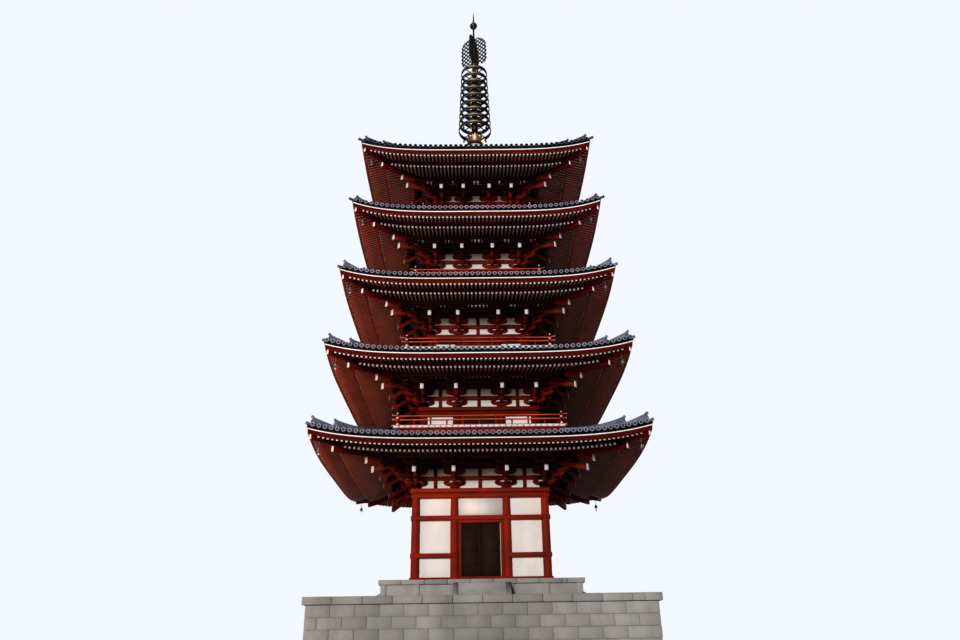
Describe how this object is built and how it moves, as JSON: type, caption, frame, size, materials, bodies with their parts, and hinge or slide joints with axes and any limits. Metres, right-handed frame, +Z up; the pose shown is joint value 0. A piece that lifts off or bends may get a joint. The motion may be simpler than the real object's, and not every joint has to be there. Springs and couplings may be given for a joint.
{
  "type": "five-storied pagoda, scale model at 1:2",
  "caption": "Square timber tower with stacked, deep-eaved tiled roofs on bracket clusters, balconies, a bronze finial and a masonry podium; half-size model.",
  "frame": {"origin": "on the tower's axis, at ground level under the podium", "axes": "+Z up along the tower's axis, -Y towards the front"},
  "size_m": [9.6168, 9.6168, 26.66],
  "materials": {
    "vermilion": "vermilion paint on timber, satin, slightly weathered",
    "plaster": "white lime plaster, matt",
    "door_timber": "dark stained board doors",
    "roof_tile": "smoked blue-grey fired clay tile, semi-matt",
    "stone": "dressed grey stone, matt",
    "bronze": "dark patinated bronze with gilt left on the inner parts",
    "white_paint": "white paint on rafter ends and edge boards"
  },
  "bodies": {
    "root": {"podium": "stone", "podium_coping": "stone", "stone_platform": "stone", "steps_front": "stone", "steps_right": "stone", "steps_back": "stone", "steps_left": "stone", "walls_1": "plaster", "timber_frame_1": "vermilion", "doors_front": "door_timber", "doors_right": "door_timber", "doors_back": "door_timber", "doors_left": "door_timber", "brackets_1": "vermilion", "eaves_1": "vermilion", "roof_tiles_1": "roof_tile", "balcony_deck_2": "vermilion", "balcony_railing_2": "vermilion", "walls_2": "plaster", "timber_frame_2": "vermilion", "brackets_2": "vermilion", "eaves_2": "vermilion", "roof_tiles_2": "roof_tile", "balcony_deck_3": "vermilion", "balcony_railing_3": "vermilion", "walls_3": "plaster", "timber_frame_3": "vermilion", "brackets_3": "vermilion", "eaves_3": "vermilion", "roof_tiles_3": "roof_tile", "balcony_deck_4": "vermilion", "balcony_railing_4": "vermilion", "walls_4": "plaster", "timber_frame_4": "vermilion", "brackets_4": "vermilion", "eaves_4": "vermilion", "roof_tiles_4": "roof_tile", "balcony_deck_5": "vermilion", "balcony_railing_5": "vermilion", "walls_5": "plaster", "timber_frame_5": "vermilion", "brackets_5": "vermilion", "eaves_5": "vermilion", "roof_tiles_5": "roof_tile", "finial_basin": "bronze", "finial_bowl": "bronze", "finial_lotus": "bronze", "finial_rings": "bronze", "finial_flame": "bronze", "finial_jewel": "bronze"}
  },
  "joints": []
}
